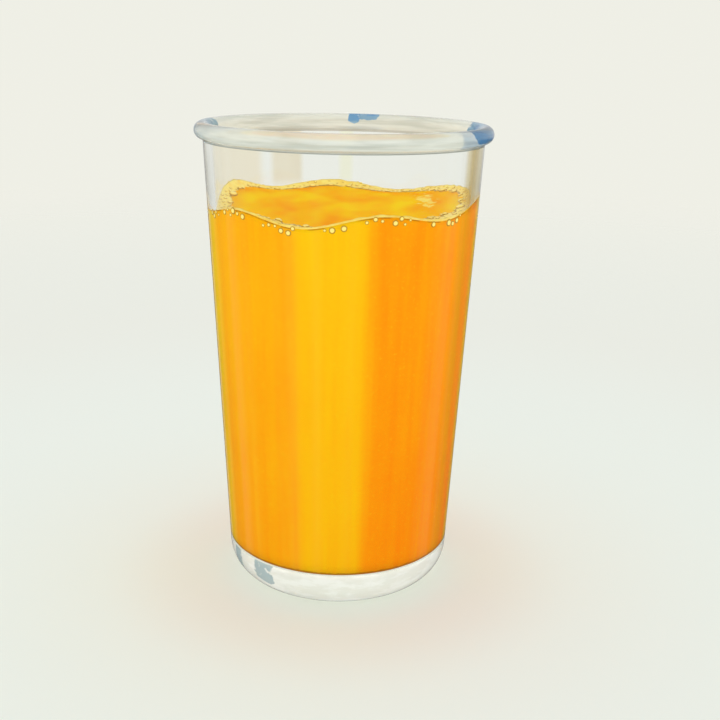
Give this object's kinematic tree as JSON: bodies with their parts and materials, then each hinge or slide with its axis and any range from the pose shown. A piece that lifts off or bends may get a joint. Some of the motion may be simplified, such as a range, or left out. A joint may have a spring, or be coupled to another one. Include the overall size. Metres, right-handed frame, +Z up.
{
  "type": "glass of orange juice",
  "caption": "Tapered clear tumbler with a rolled lip and thick base, filled with orange juice to an uneven level, with a thin ring of froth round the wall.",
  "frame": {"origin": "middle of the foot, on the table", "axes": "+Z up along the glass's axis, -Y towards the front, where the surface of the juice dips left of the middle"},
  "size_m": [0.0792, 0.0792, 0.128],
  "materials": {
    "clear_glass": "clear, smooth and glossy",
    "orange_juice": "cloudy yellow-orange juice with fine pulp, wet and glossy on top",
    "pale_froth": "pale yellow froth of small wet bubbles"
  },
  "bodies": {
    "root": {"glass": "clear_glass", "juice": "orange_juice", "froth": "pale_froth"}
  },
  "joints": []
}
